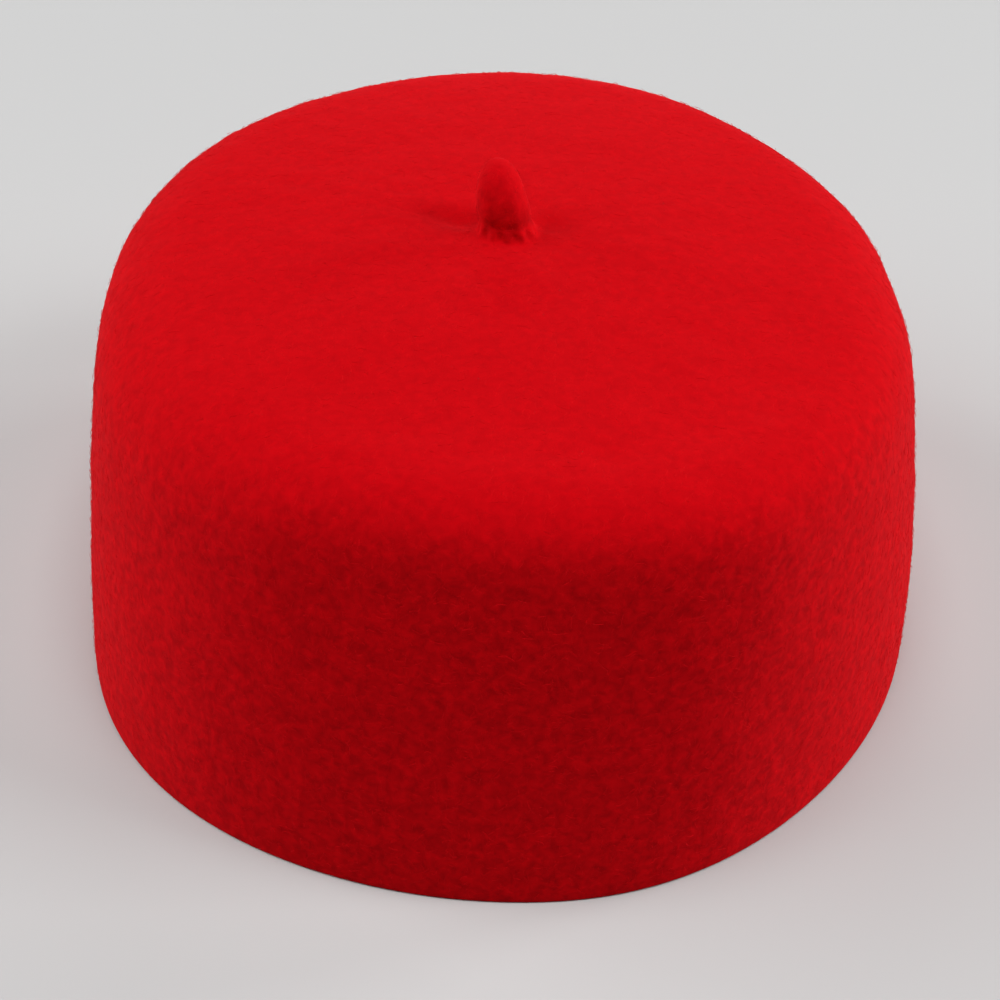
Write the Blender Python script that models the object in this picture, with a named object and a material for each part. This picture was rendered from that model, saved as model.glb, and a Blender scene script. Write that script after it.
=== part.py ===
"""A red fez cap: one piece of fulled wool felt, blocked to a soft drum with a felted stalk on top.

The front faces -Y, the crown is up, and the rim stands on z = 0. All sizes are in metres unless a
name or a column ends in _mm or _deg.
"""

import math
from collections import namedtuple

import bmesh
import bpy
from mathutils import Vector

MM = 0.001

# The wall: an oval drum, a little longer from front to back than from side to side.
FELT = 2.4 * MM
HALF_WIDTH = 86 * MM
DEPTH_OVER_WIDTH = 1.181
PLAN_POWER = 2.17  # 2 is a true ellipse, and more is squarer
RIM_ROUNDING = 0.5 * MM

# The crown: the wall turns over a soft shoulder into a top that rises a little to its middle.
SHOULDER_HEIGHT = 82.1 * MM  # where the shoulder would end if the top were level
SHOULDER_RADIUS = 19.2 * MM
SQUARENESS = 2.3  # 0 would keep the shoulder's section round in front, as it is at the back
SQUAREST_AZIMUTH = math.radians(-76)
PULL_IN = 7.0 * MM  # how far the wall's slow taper has come in at that height
EDGE_SLOPE = math.radians(8.5)  # the top's slope where the shoulder begins
LEAN = 0.014  # sideways per unit of height
CROWN_SLOPE = -0.011  # height per unit of width

# The stalk: felt drawn up out of the crown into a short, blunt thumb, pinched from side to side
# towards its tip. It stands on a short, steep neck, with a crease above it and small folds
# gathered round it.
STALK_RADIUS = 5.5 * MM
STALK_HEIGHT = 12.8 * MM
STALK_FULLNESS = 6  # higher keeps it thick for longer below its tip
STALK_PINCH = 0.24  # how much narrower it is from side to side at its tip
STALK_X = -0.25 * MM
STALK_Y = -2.1 * MM
STALK_LEAN_X = -0.19  # sideways per unit of height
STALK_LEAN_Y = 0.2  # backwards per unit of height, just above the neck
STALK_CURL = 0.021 / MM  # and how much more it leans back further up
NECK_HEIGHT = 2.6 * MM
NECK_FLARE = 0.8 * MM  # how far the neck spreads where it meets the crown
FLARE_POWER = 4  # higher keeps the neck upright for longer above that
CREASE_DEPTH = 0.5 * MM
CREASE_POWER = 3  # higher makes the crease narrower
GATHERS = 12
GATHER_DEPTH = 0.17 * MM
GATHER_REACH = 1.2 * MM
GATHER_MIDDLE = 0.4  # where the folds are deepest, as a share of the neck's height
GATHER_SPREAD = 0.35

# Round the stalk the plan is a circle, and it grows into the oval between these two radii.
ROUND_WITHIN = 13 * MM
OVAL_BEYOND = 50 * MM

# The wall isn't quite even: long waves round it, at the rim and up at the crown.
Ripple = namedtuple("Ripple", "level waves height_mm crest_deg")
RIPPLES = (
    Ripple("rim", 3, 0.41, -4),
    Ripple("rim", 5, 0.92, -6),
    Ripple("crown", 3, 0.94, -42),
    Ripple("crown", 5, 0.69, 9),
)

# Places where the wall is pressed in, or swells out where the depth is negative.
Dent = namedtuple("Dent", "azimuth_deg height_mm half_width_deg half_height_mm depth_mm")
DENTS = (
    Dent(-78, 84, 20, 27, -4.2),
    Dent(40, 78, 6, 14, 0.25),
    Dent(19, 72, 6, 14, -0.6),
    Dent(2, 49, 7, 18, 0.6),
    Dent(-7, 21, 7, 20, -0.6),
    Dent(-170, 25, 8, 20, 0.43),
)

# Shallow hollows in the top, from the middle of the crown, and a low swell where it is negative.
Hollow = namedtuple("Hollow", "x_mm y_mm half_width_mm half_depth_mm depth_mm")
HOLLOWS = (
    Hollow(-10.2, 2.2, 3.0, 2.5, 1.7),
    Hollow(8.8, 0.4, 2.6, 2.4, 0.6),
    Hollow(-1, 0, 15, 14, 0.8),
    Hollow(1, -36, 15, 14, 0.5),
    Hollow(38, -48, 14, 13, 0.4),
    Hollow(-38, -70, 16, 12, 0.5),
    Hollow(8, -80, 20, 9, -0.4),
)

# How finely the felt is divided.
AZIMUTHS = 84
WALL_ROWS = 7
SHOULDER_ROWS = 9
CROWN_ROWS = 9
CROWN_CROWDING = 1.8  # above 1, the crown's rows lie closer together towards its middle
NECK_ROWS = 6
STALK_ROWS = 10
ROUNDING_ROWS = 2


def smooth(share):
    """A soft step from 0 to 1 as share goes from 0 to 1."""
    share = min(max(share, 0.0), 1.0)
    return share * share * (3 - 2 * share)


def bell(*distances):
    """1 in the middle of a dent, and fading to nothing a few widths away."""
    return math.exp(-sum(distance * distance for distance in distances) / 2)


def wall_radius(height):
    """The drum's radius: upright at the rim, and coming in a little more and more towards the crown."""
    return HALF_WIDTH - PULL_IN * (height / SHOULDER_HEIGHT) ** 2


# The top is a shallow dome that meets the shoulder's arc at the edge slope.
CROWN_EDGE_HEIGHT = SHOULDER_HEIGHT - SHOULDER_RADIUS * (1 - math.cos(EDGE_SLOPE))
CROWN_RADIUS = wall_radius(CROWN_EDGE_HEIGHT) - SHOULDER_RADIUS * (1 - math.sin(EDGE_SLOPE))
CROWN_RISE = math.tan(EDGE_SLOPE) * CROWN_RADIUS / 2


def crown_height(radius):
    """The height of the crown's top before its hollows, at this distance from the middle."""
    return CROWN_EDGE_HEIGHT + CROWN_RISE * (1 - (radius / CROWN_RADIUS) ** 2)


def stalk_profile():
    """Radius and height from the tip of the stalk down to where its neck meets the crown."""
    base = crown_height(0)
    points = []
    for row in range(STALK_ROWS):
        share = math.sin(math.pi / 2 * (1 - row / STALK_ROWS))
        radius = STALK_RADIUS * math.sqrt(1 - share**STALK_FULLNESS)
        height = base + NECK_HEIGHT + (STALK_HEIGHT - NECK_HEIGHT) * share
        points.append((radius, height))
    for row in range(NECK_ROWS):
        share = row / NECK_ROWS
        crease = CREASE_DEPTH * (1 - share) ** CREASE_POWER
        radius = STALK_RADIUS - crease + NECK_FLARE * share**FLARE_POWER
        points.append((radius, base + NECK_HEIGHT * (1 - share)))
    return points


def shell_profile(inset, inner_radius):
    """Radius and height from inner_radius on the crown down to the rim, set in by the felt."""
    points = []
    edge = CROWN_RADIUS - inset * math.sin(EDGE_SLOPE)
    for row in range(CROWN_ROWS):
        radius = inner_radius + (edge - inner_radius) * (row / CROWN_ROWS) ** CROWN_CROWDING
        points.append((radius, crown_height(radius) - inset))
    arc = SHOULDER_RADIUS - inset
    wall_height = SHOULDER_HEIGHT - SHOULDER_RADIUS
    for row in range(SHOULDER_ROWS):
        angle = (math.pi / 2 - EDGE_SLOPE) * (1 - row / SHOULDER_ROWS)
        height = wall_height + arc * math.sin(angle)
        points.append((wall_radius(height) - inset - arc * (1 - math.cos(angle)), height))
    for row in range(WALL_ROWS):
        height = wall_height + (RIM_ROUNDING - wall_height) * row / WALL_ROWS
        points.append((wall_radius(height) - inset, height))
    return points


def rim_profile():
    """The cut edge, from outside to inside: a flat ring with a small rounding on both corners."""
    points = []
    middle = wall_radius(0) - FELT / 2
    for side in (1, -1):
        corner = []
        for row in range(ROUNDING_ROWS + 1):
            angle = math.pi / 2 * row / ROUNDING_ROWS
            reach = FELT / 2 - RIM_ROUNDING * (1 - math.cos(angle))
            corner.append((middle + side * reach, RIM_ROUNDING * (1 - math.sin(angle))))
        points += corner if side == 1 else corner[::-1]
    return points


def cap_profile():
    """The whole section from the stalk's tip, down the outside, round the rim and up the inside."""
    outside = stalk_profile() + shell_profile(0, STALK_RADIUS + NECK_FLARE) + rim_profile()
    inside = shell_profile(FELT, 0)
    return outside + inside[::-1]


def wall_offset(azimuth, height):
    """How far the wall stands out from the even oval, from its ripples and dents."""
    crown_share = smooth(height / SHOULDER_HEIGHT)
    weight = {"rim": 1 - crown_share, "crown": crown_share}
    offset = 0.0
    for ripple in RIPPLES:
        turn = ripple.waves * (azimuth - math.radians(ripple.crest_deg))
        offset += weight[ripple.level] * ripple.height_mm * MM * math.cos(turn)
    for dent in DENTS:
        aside = (math.degrees(azimuth) - dent.azimuth_deg + 180) % 360 - 180
        above = height / MM - dent.height_mm
        depth = bell(aside / dent.half_width_deg, above / dent.half_height_mm) * dent.depth_mm
        offset -= depth * MM
    return offset


def squared_shoulder(radius, height, azimuth):
    """Pushes the shoulder out towards its corner, where it turns more sharply in front."""
    centre_radius = wall_radius(height) - SHOULDER_RADIUS
    centre_height = SHOULDER_HEIGHT - SHOULDER_RADIUS
    out = radius - centre_radius
    up = height - centre_height
    if out <= 0 or up <= 0:
        return radius, height
    power = 2 + SQUARENESS * max(0.0, math.cos(azimuth - SQUAREST_AZIMUTH)) ** 2
    length = math.hypot(out, up)
    stretch = ((out / length) ** power + (up / length) ** power) ** (-1 / power)
    return centre_radius + out * stretch, centre_height + up * stretch


def crown_sag(x, y):
    """How far the top sinks at this place."""
    sag = 0.0
    for hollow in HOLLOWS:
        across = (x / MM - hollow.x_mm) / hollow.half_width_mm
        along = (y / MM - hollow.y_mm) / hollow.half_depth_mm
        sag += bell(across, along) * hollow.depth_mm * MM
    return sag


def gather(radius, above_crown, azimuth):
    """The small upright folds round the stalk's neck, deepest in front."""
    frontness = (1 - math.sin(azimuth)) ** 2 / 2
    out = (radius - STALK_RADIUS) / GATHER_REACH
    up = (above_crown / NECK_HEIGHT - GATHER_MIDDLE) / GATHER_SPREAD
    return GATHER_DEPTH * frontness * bell(out, up) * math.cos(GATHERS * azimuth)


def blocked(point):
    """Moves a point of the evenly turned cap to its place on the real, slightly uneven one."""
    azimuth = math.atan2(point.y, point.x)
    radius = math.hypot(point.x, point.y)
    above_crown = max(0.0, point.z - crown_height(radius))
    above_neck = max(0.0, above_crown - NECK_HEIGHT)
    outside = point.z > crown_height(radius) - FELT / 2
    radius, height = squared_shoulder(radius, point.z, azimuth)
    radius += gather(radius, above_crown, azimuth) if outside else 0
    radius += wall_offset(azimuth, height) * radius / HALF_WIDTH

    oval = smooth((radius - ROUND_WITHIN) / (OVAL_BEYOND - ROUND_WITHIN))
    across = math.cos(azimuth)
    along = math.sin(azimuth)
    swell = (abs(across) ** PLAN_POWER + abs(along) ** PLAN_POWER) ** (-1 / PLAN_POWER)
    x = radius * across * swell
    y = radius * along * swell * (1 + (DEPTH_OVER_WIDTH - 1) * oval)
    x *= 1 - STALK_PINCH * above_neck / (STALK_HEIGHT - NECK_HEIGHT)
    x += STALK_X * (1 - oval) + STALK_LEAN_X * above_crown
    y += STALK_Y * (1 - oval) + STALK_LEAN_Y * above_neck + STALK_CURL * above_neck**2

    height -= crown_sag(x, y) * smooth(height / SHOULDER_HEIGHT)
    height += CROWN_SLOPE * x * (height / SHOULDER_HEIGHT) ** 2
    return Vector((x + LEAN * height, y, height))


def felt_material():
    felt = bpy.data.materials.new("fulled_wool_felt")
    felt.use_nodes = True
    shader = felt.node_tree.nodes["Principled BSDF"]
    shader.inputs["Base Color"].default_value = (0.55, 0.006, 0.012, 1)
    shader.inputs["Roughness"].default_value = 0.95
    shader.inputs["Metallic"].default_value = 0.0
    return felt


def turn_profile(mesh, profile):
    """Spins the section once round the upright axis and closes it at both poles."""
    verts = [mesh.verts.new((radius, 0, height)) for radius, height in profile]
    edges = [mesh.edges.new(pair) for pair in zip(verts, verts[1:])]
    bmesh.ops.spin(
        mesh,
        geom=verts + edges,
        cent=(0, 0, 0),
        axis=(0, 0, 1),
        angle=math.tau,
        steps=AZIMUTHS,
        use_merge=True,
    )
    bmesh.ops.remove_doubles(mesh, verts=mesh.verts, dist=0.01 * MM)
    bmesh.ops.recalc_face_normals(mesh, faces=mesh.faces)


def stand_on_origin(mesh):
    """Puts the origin midway between the cap's sides, on the surface that its rim stands on."""
    xs = [vert.co.x for vert in mesh.verts]
    ys = [vert.co.y for vert in mesh.verts]
    middle = Vector(((min(xs) + max(xs)) / 2, (min(ys) + max(ys)) / 2, 0))
    bmesh.ops.translate(mesh, vec=-middle, verts=mesh.verts)


def felt_cap():
    """The whole hat: wall, shoulder, crown and stalk are one felt."""
    shape = bmesh.new()
    turn_profile(shape, cap_profile())
    for vert in shape.verts:
        vert.co = blocked(vert.co)
    stand_on_origin(shape)
    mesh = bpy.data.meshes.new("felt_cap")
    shape.to_mesh(mesh)
    shape.free()
    mesh.shade_smooth()
    mesh.materials.append(felt_material())
    cap = bpy.data.objects.new("felt_cap", mesh)
    bpy.context.scene.collection.objects.link(cap)
    return cap


for leftover in list(bpy.data.objects):
    bpy.data.objects.remove(leftover)
felt_cap()
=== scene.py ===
"""A red fulled-felt fez cap that stands by itself on its rim, on a pale floor."""

import math

import bpy
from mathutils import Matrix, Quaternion, Vector


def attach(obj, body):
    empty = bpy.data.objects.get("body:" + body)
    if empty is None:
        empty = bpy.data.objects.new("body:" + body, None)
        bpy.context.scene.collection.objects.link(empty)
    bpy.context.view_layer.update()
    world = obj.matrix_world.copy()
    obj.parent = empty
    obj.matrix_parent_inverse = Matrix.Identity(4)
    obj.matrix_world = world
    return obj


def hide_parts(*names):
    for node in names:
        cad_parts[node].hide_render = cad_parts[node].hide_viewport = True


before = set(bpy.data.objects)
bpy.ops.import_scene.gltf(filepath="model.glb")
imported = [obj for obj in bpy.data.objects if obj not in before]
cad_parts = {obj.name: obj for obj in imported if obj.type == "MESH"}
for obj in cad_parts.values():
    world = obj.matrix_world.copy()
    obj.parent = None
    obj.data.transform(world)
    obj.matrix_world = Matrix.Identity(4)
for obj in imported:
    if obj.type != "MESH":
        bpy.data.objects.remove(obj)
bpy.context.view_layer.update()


# The cap: one thick felt of red sheep's wool, fulled until it is dense and then blocked over a
# wooden form, with its stalk drawn up out of the middle of the crown. It is the solid made finer,
# and the felt's uneven thickness is raised on it as soft, shallow lumps.
MM = 0.001


def only(piece):
    """Selects this piece and nothing else."""
    bpy.ops.object.select_all(action="DESELECT")
    piece.select_set(True)
    bpy.context.view_layer.objects.active = piece


def hex_colour(code):
    """An sRGB hex value as the linear colour that a shader reads."""
    shares = [int(code[place:place + 2], 16) / 255 for place in (1, 3, 5)]
    linear = [s / 12.92 if s <= 0.04045 else ((s + 0.055) / 1.055) ** 2.4 for s in shares]
    return (*linear, 1.0)


def node(tree, kind, inputs=(), **settings):
    """Adds one node. Inputs are (its name or number, a value or the socket it reads)."""
    added = tree.nodes.new(kind)
    for name, value in settings.items():
        setattr(added, name, value)
    for name, source in inputs:
        if isinstance(source, bpy.types.NodeSocket):
            tree.links.new(source, added.inputs[name])
        else:
            added.inputs[name].default_value = source
    return added


WELD = 0.004 * MM  # the solid's loose triangles are joined where their corners are this close
MOST_FOLD = math.radians(60)  # two triangles become one square only if they fold less than this
MOST_SKEW = math.radians(70)  # and if the square's corners are off a right angle by less
HALVINGS = 2  # each one halves every edge
RIM_BLEND = 5 * MM  # the lumps fade out over this height, because the rim is cut flat
# Each kind of lump, with its size and its height.
LUMPS = (("felt_swells", 14 * MM, 0.5 * MM), ("felt_lumps", 4.5 * MM, 0.3 * MM))
LUMP_LAYERS = 2  # of finer lumps on these, each layer half the size of the one before


def uneven(piece, name, size, height):
    """Raises soft lumps of about this size on a piece, and leaves its lowest edge where it is."""
    lumps = bpy.data.textures.new(name, "CLOUDS")
    lumps.noise_scale = size
    lumps.noise_depth = LUMP_LAYERS
    only(piece)
    bpy.ops.object.modifier_add(type="DISPLACE")
    raising = piece.modifiers[-1]
    raising.texture = lumps
    raising.texture_coords = "LOCAL"
    raising.vertex_group = "above_the_rim"
    raising.strength = height
    raising.mid_level = 0.5
    bpy.ops.object.modifier_apply(modifier=raising.name)


felt = bpy.data.objects.new("fez_felt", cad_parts["felt_cap"].data.copy())
bpy.context.scene.collection.objects.link(felt)
felt.data.materials.clear()
only(felt)
bpy.ops.object.mode_set(mode="EDIT")
bpy.ops.mesh.select_all(action="SELECT")
bpy.ops.mesh.remove_doubles(threshold=WELD)
bpy.ops.mesh.tris_convert_to_quads(face_threshold=MOST_FOLD, shape_threshold=MOST_SKEW)
bpy.ops.object.mode_set(mode="OBJECT")
bpy.ops.object.shade_smooth()
bpy.ops.object.modifier_add(type="SUBSURF")
rounding = felt.modifiers[-1]
rounding.levels = HALVINGS
rounding.render_levels = HALVINGS
bpy.ops.object.modifier_apply(modifier=rounding.name)
# What the lumps read at each point: how far it is clear of the rim, from 0 to 1.
above_the_rim = felt.vertex_groups.new(name="above_the_rim")
for vert in felt.data.vertices:
    above_the_rim.add([vert.index], min(1.0, max(0.0, vert.co.z / RIM_BLEND)), "REPLACE")
# And what the painted shade reads: how upright the felt is there, from 0 on the flat of the crown
# to 1 on the wall, where the light rakes and the painted shade is strongest. It is made after the
# group is filled, because filling a group moves such values.
upright_share = felt.data.attributes.new("upright", "FLOAT", "POINT")
for vert in felt.data.vertices:
    upright_share.data[vert.index].value = 1 - abs(vert.normal.z)
for name, size, height in LUMPS:
    uneven(felt, name, size, height)

# Fulled wool felt: curled fibres matted together, so it is matt and has no gloss. Fulling shrinks
# them into small soft tufts. Their mottled red is partly the felt's own uneven tone and partly
# painted
# shade: the hollows between the tufts are painted a darker red, as shade, and this is painted more
# strongly on the upright wall and stalk, where the light rakes across, than on the flat crown.
TUFT = 2.1 * MM
TUFT_RELIEF = 0.05 * MM
WALL_CONTRAST = 2.5
CROWN_CONTRAST = 0.86
# The darker red is partly painted shade in the tufts' hollows, the lighter one the tufts' tops.
SHADED_HOLLOW_RED = hex_colour("#a0030a")
TUFT_RED = hex_colour("#c3040d")
FUZZ_RED = hex_colour("#ff3a44")
wool = bpy.data.materials.new("fulled_wool_felt")
wool.use_nodes = True
shader = wool.node_tree.nodes["Principled BSDF"]
where = node(wool.node_tree, "ShaderNodeTexCoord").outputs["Object"]
tufts = node(
    wool.node_tree, "ShaderNodeTexNoise",
    [("Vector", where), ("Scale", 1 / TUFT), ("Detail", 1.6), ("Roughness", 0.72),
     ("Distortion", 0.3)],
).outputs["Fac"]
upright = node(wool.node_tree, "ShaderNodeAttribute", attribute_name="upright").outputs["Fac"]
contrast = node(
    wool.node_tree, "ShaderNodeMapRange",
    [("Value", upright), ("To Min", CROWN_CONTRAST), ("To Max", WALL_CONTRAST)],
).outputs["Result"]
centred = node(
    wool.node_tree, "ShaderNodeMath", [(0, tufts), (1, 0.5)], operation="SUBTRACT",
).outputs[0]
shade = node(
    wool.node_tree, "ShaderNodeMath", [(0, centred), (1, contrast), (2, 0.5)],
    operation="MULTIPLY_ADD",
).outputs[0]
dye_and_painted_shade = node(
    wool.node_tree, "ShaderNodeMix", [("Factor", shade), ("A", SHADED_HOLLOW_RED), ("B", TUFT_RED)],
    data_type="RGBA",
).outputs["Result"]
relief = node(
    wool.node_tree, "ShaderNodeBump",
    [("Height", shade), ("Strength", 1.0), ("Distance", TUFT_RELIEF)],
).outputs["Normal"]
wool.node_tree.links.new(dye_and_painted_shade, shader.inputs["Base Color"])
wool.node_tree.links.new(relief, shader.inputs["Normal"])
shader.inputs["Roughness"].default_value = 0.95
shader.inputs["Specular IOR Level"].default_value = 0.02
shader.inputs["Sheen Weight"].default_value = 0.2
shader.inputs["Sheen Roughness"].default_value = 0.4
shader.inputs["Sheen Tint"].default_value = FUZZ_RED
felt.data.materials.append(wool)
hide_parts("felt_cap")
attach(felt, "root")


# The nap: loose curled ends of the same wool, which lie on the outside of the felt every way.
# Geometry Nodes lays one short curve at each of thousands of random spots, wavers it, and gives
# it a thin round body.
END_LENGTH = 2.2 * MM
SHORTEST_END, LONGEST_END = 0.5, 1.2  # times that length
END_POINTS = 5
END_SIDES = 3
END_THICKNESS = 0.07 * MM  # three times that of real wool, so that an end shows
END_LIFT = 0.05 * MM  # from the felt to the middle of an end
WAVER_SIZE = 1.3 * MM  # along an end, from one bend to the next
WAVER = 1.2 * MM  # across it, from its furthest bend to one side to that to the other
ENDS_PER_SQUARE_METRE = 0.25e6  # one to each 4 square millimetres
# Each band's lowest and highest height, so that no piece of nap grows too heavy.
NAP_BANDS = {
    "nap_low_on_the_wall": (2.3 * MM, 33 * MM),
    "nap_high_on_the_wall": (33 * MM, 66 * MM),
    "nap_on_the_shoulder": (66 * MM, 84 * MM),
    "nap_on_the_crown": (84 * MM, 110 * MM),
}
HEAD_MIDDLE = (0, 0, 40 * MM)  # a face that is turned away from here is on the felt's outside


def nap_nodes(low, high, seed, finish):
    """The node tree that turns a felt into the loose ends on its outside, between two heights."""
    tree = bpy.data.node_groups.new("loose_ends", "GeometryNodeTree")
    tree.interface.new_socket("Geometry", in_out="INPUT", socket_type="NodeSocketGeometry")
    tree.interface.new_socket("Geometry", in_out="OUTPUT", socket_type="NodeSocketGeometry")
    start = node(tree, "NodeGroupInput").outputs[0]
    # The faces that bear ends.
    place = node(tree, "GeometryNodeInputPosition").outputs[0]
    facing = node(tree, "GeometryNodeInputNormal").outputs[0]
    outward = node(
        tree, "ShaderNodeVectorMath", [(0, place), (1, HEAD_MIDDLE)], operation="SUBTRACT",
    ).outputs[0]
    turned_out = node(
        tree, "ShaderNodeVectorMath", [(0, facing), (1, outward)], operation="DOT_PRODUCT",
    ).outputs[1]
    outer = node(
        tree, "ShaderNodeMath", [(0, turned_out), (1, 0.0)], operation="GREATER_THAN",
    ).outputs[0]
    height = node(tree, "ShaderNodeSeparateXYZ", [(0, place)]).outputs["Z"]
    above = node(
        tree, "ShaderNodeMath", [(0, height), (1, low)], operation="GREATER_THAN",
    ).outputs[0]
    below = node(
        tree, "ShaderNodeMath", [(0, height), (1, high)], operation="LESS_THAN",
    ).outputs[0]
    between = node(
        tree, "ShaderNodeMath", [(0, above), (1, below)], operation="MULTIPLY",
    ).outputs[0]
    chosen = node(
        tree, "ShaderNodeMath", [(0, between), (1, outer)], operation="MULTIPLY",
    ).outputs[0]
    # One straight end at each random spot, turned any way. A random value reads its least and
    # greatest number from inputs 2 and 3, and gives it at output 1.
    spots = node(
        tree, "GeometryNodeDistributePointsOnFaces",
        [("Mesh", start), ("Selection", chosen), ("Density", ENDS_PER_SQUARE_METRE),
         ("Seed", seed)],
    )
    turn = node(
        tree, "FunctionNodeRandomValue", [(2, 0.0), (3, math.tau), ("Seed", seed)],
    ).outputs[1]
    spin = node(
        tree, "FunctionNodeAxisAngleToRotation", [("Axis", (0, 0, 1)), ("Angle", turn)],
    ).outputs[0]
    lie = node(
        tree, "FunctionNodeRotateRotation",
        [("Rotation", spots.outputs["Rotation"]), ("Rotate By", spin)], rotation_space="LOCAL",
    ).outputs[0]
    line = node(
        tree, "GeometryNodeCurvePrimitiveLine",
        [("Start", (-END_LENGTH / 2, 0, END_LIFT)), ("End", (END_LENGTH / 2, 0, END_LIFT))],
    ).outputs[0]
    strand = node(
        tree, "GeometryNodeResampleCurve", [("Curve", line), ("Count", END_POINTS)],
    ).outputs[0]
    size = node(
        tree, "FunctionNodeRandomValue",
        [(2, SHORTEST_END), (3, LONGEST_END), ("Seed", seed + 1)],
    ).outputs[1]
    laid = node(
        tree, "GeometryNodeInstanceOnPoints",
        [("Points", spots.outputs["Points"]), ("Instance", strand), ("Rotation", lie),
         ("Scale", size)],
    ).outputs[0]
    real = node(tree, "GeometryNodeRealizeInstances", [("Geometry", laid)]).outputs[0]
    # Its waver, and its round body.
    noise = node(
        tree, "ShaderNodeTexNoise", [("Scale", 1 / WAVER_SIZE), ("Detail", 0.0)],
    ).outputs["Color"]
    centred = node(
        tree, "ShaderNodeVectorMath", [(0, noise), (1, (0.5, 0.5, 0.5))], operation="SUBTRACT",
    ).outputs[0]
    shift = node(
        tree, "ShaderNodeVectorMath", [(0, centred), ("Scale", WAVER)], operation="SCALE",
    ).outputs[0]
    wavy = node(
        tree, "GeometryNodeSetPosition", [("Geometry", real), ("Offset", shift)],
    ).outputs[0]
    section = node(
        tree, "GeometryNodeCurvePrimitiveCircle",
        [("Resolution", END_SIDES), ("Radius", END_THICKNESS / 2)],
    ).outputs[0]
    body = node(
        tree, "GeometryNodeCurveToMesh",
        [("Curve", wavy), ("Profile Curve", section), ("Fill Caps", True)],
    ).outputs[0]
    smooth = node(tree, "GeometryNodeSetShadeSmooth", [("Geometry", body)]).outputs[0]
    dyed = node(
        tree, "GeometryNodeSetMaterial", [("Geometry", smooth), ("Material", finish)],
    ).outputs[0]
    node(tree, "NodeGroupOutput", [(0, dyed)])
    return tree


# Loose wool ends: the same dyed wool, painted a shade paler than the felt as painted light, the
# light that an end catches where it stands clear of the felt. Its red is plain, because one end is
# too thin to show a change in the dye, which the felt under it carries.
LOOSE_RED_WITH_PAINTED_LIGHT = hex_colour("#bd060f")
loose_wool = bpy.data.materials.new("loose_wool_ends")
loose_wool.use_nodes = True
loose_shader = loose_wool.node_tree.nodes["Principled BSDF"]
loose_shader.inputs["Base Color"].default_value = LOOSE_RED_WITH_PAINTED_LIGHT
loose_shader.inputs["Roughness"].default_value = 0.9
loose_shader.inputs["Specular IOR Level"].default_value = 0.05
for seed, (name, (low, high)) in enumerate(NAP_BANDS.items()):
    nap = bpy.data.objects.new(name, felt.data.copy())
    bpy.context.scene.collection.objects.link(nap)
    only(nap)
    bpy.ops.object.modifier_add(type="NODES")
    laying = nap.modifiers[-1]
    laying.node_group = nap_nodes(low, high, seed, loose_wool)
    bpy.ops.object.modifier_apply(modifier=laying.name)
    nap.data.materials.clear()
    nap.data.materials.append(loose_wool)
    nap.visible_shadow = False  # it would be three times too wide, as the ends are
    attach(nap, "root")


# The floor: one wide sheet of matt white paper that the hat stands on. It lies just under the
# rim, so that the two never share a plane.
FLOOR_SIZE = 2.4
FLOOR_DROP = 0.05 * MM
bpy.ops.mesh.primitive_plane_add(size=FLOOR_SIZE, location=(0, 0, -FLOOR_DROP))
floor = bpy.context.object
floor.name = "paper_floor"
# Matt white paper: it has no gloss, so only the hat's soft shadow shows on it. It is a little grey,
# so that it throws no more light up on the wall than in the photo.
PAPER_WHITE = hex_colour("#b8b8b8")
paper = bpy.data.materials.new("matt_white_paper")
paper.use_nodes = True
paper_shader = paper.node_tree.nodes["Principled BSDF"]
paper_shader.inputs["Base Color"].default_value = PAPER_WHITE
paper_shader.inputs["Roughness"].default_value = 1.0
paper_shader.inputs["Specular IOR Level"].default_value = 0.0
floor.data.materials.append(paper)


# The light: square soft boxes in a studio. One hangs overhead, one stands high on each side, one
# low on each side and a little back, and a faint one behind. The low pair rakes the wall's ends.
CROWN_MIDDLE = (0, 0, 0.08)
WALL_MIDDLE = (0, 0, 0.05)


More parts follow.
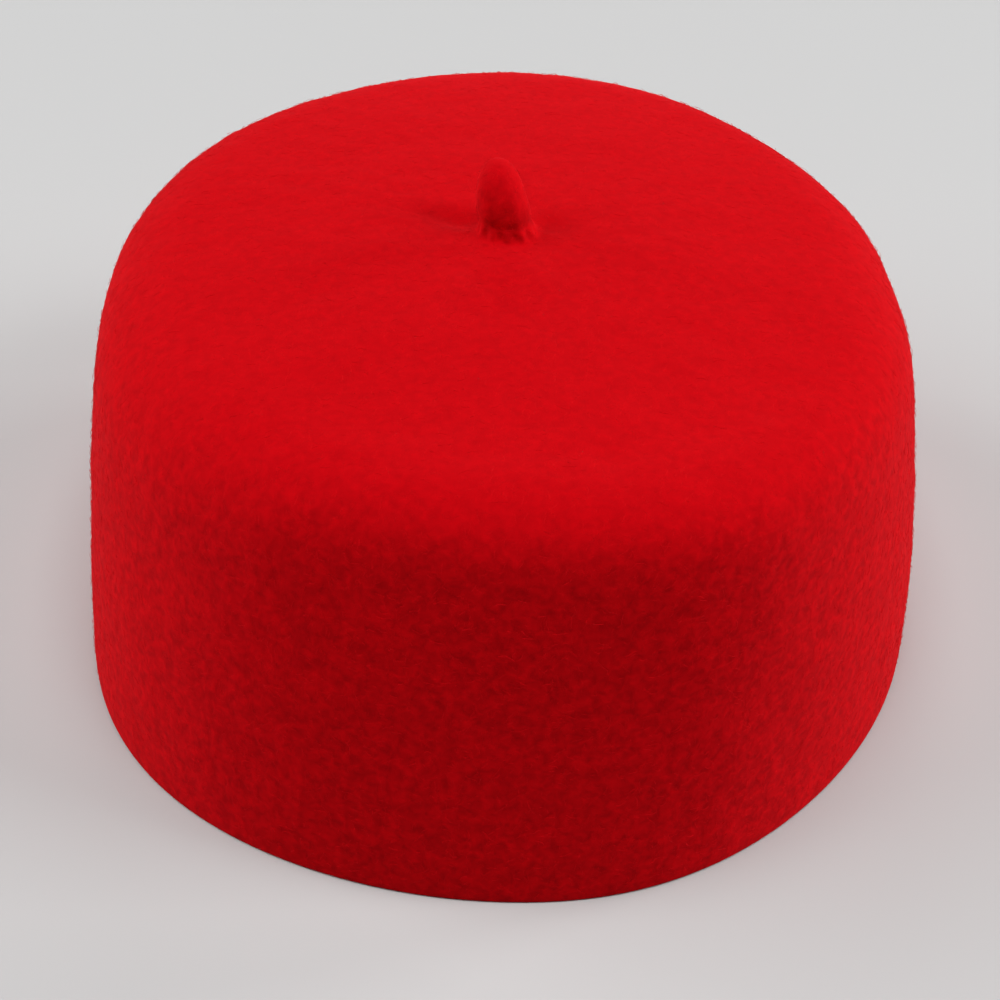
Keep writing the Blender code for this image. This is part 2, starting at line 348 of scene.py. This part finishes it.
def soft_box(name, place, aim, size, power):
    """Hangs a square soft box at a place, turned to what it is aimed at."""
    bpy.ops.object.light_add(type="AREA", location=place)
    box = bpy.context.object
    box.name = name
    box.data.size = size
    box.data.energy = power
    box.rotation_euler = (Vector(aim) - Vector(place)).to_track_quat("-Z", "Y").to_euler()


soft_box("overhead", (0, -0.5, 2.9), CROWN_MIDDLE, 1.6, 58)
soft_box("right_high", (2.2, -0.5, 1.7), CROWN_MIDDLE, 1.2, 38)
soft_box("left_high", (-2.2, -0.2, 1.7), CROWN_MIDDLE, 2.2, 40)
soft_box("left_side", (-2.3, 1.15, 0.4), WALL_MIDDLE, 0.75, 35)
soft_box("right_side", (2.35, 1.0, 0.4), WALL_MIDDLE, 0.75, 48)
soft_box("back", (0, 2.6, 1.0), CROWN_MIDDLE, 1.0, 11)

# The room round the paper looks about as pale as the paper does. Only the camera sees it, so it
# adds no light of its own.
ROOM_WHITE = hex_colour("#cfcdcd")
room = bpy.data.worlds.new("pale_room")
room.use_nodes = True
room_paint = room.node_tree.nodes["Background"]
room_paint.inputs["Color"].default_value = ROOM_WHITE
seen = node(room.node_tree, "ShaderNodeLightPath").outputs["Is Camera Ray"]
room.node_tree.links.new(seen, room_paint.inputs["Strength"])
bpy.context.scene.world = room
bpy.context.scene.view_settings.view_transform = "Standard"


# The camera: in front of the hat and 35 degrees above it, very slightly turned and tilted, and
# half a metre away, so that the hat narrows downwards as it does in the photo.
AIM = Vector((-0.53, 0.02, 19.35)) * MM
DISTANCE = 513.25 * MM
ELEVATION = math.radians(35.019)
HEADING = math.radians(1.946)
ROLL = math.radians(1.479)
FILM_WIDTH = 36  # in millimetres, as a camera counts them, and so is its lens
LENS = 86.4
NEAREST_SEEN = 10 * MM
forward = Vector((
    math.sin(HEADING) * math.cos(ELEVATION),
    math.cos(HEADING) * math.cos(ELEVATION),
    -math.sin(ELEVATION),
))
bpy.ops.object.camera_add(location=AIM - forward * DISTANCE)
camera = bpy.context.object
camera.rotation_mode = "QUATERNION"
camera.rotation_quaternion = forward.to_track_quat("-Z", "Y") @ Quaternion((0, 0, 1), ROLL)
camera.data.sensor_width = FILM_WIDTH
camera.data.lens = LENS
camera.data.clip_start = NEAREST_SEEN
bpy.context.scene.camera = camera
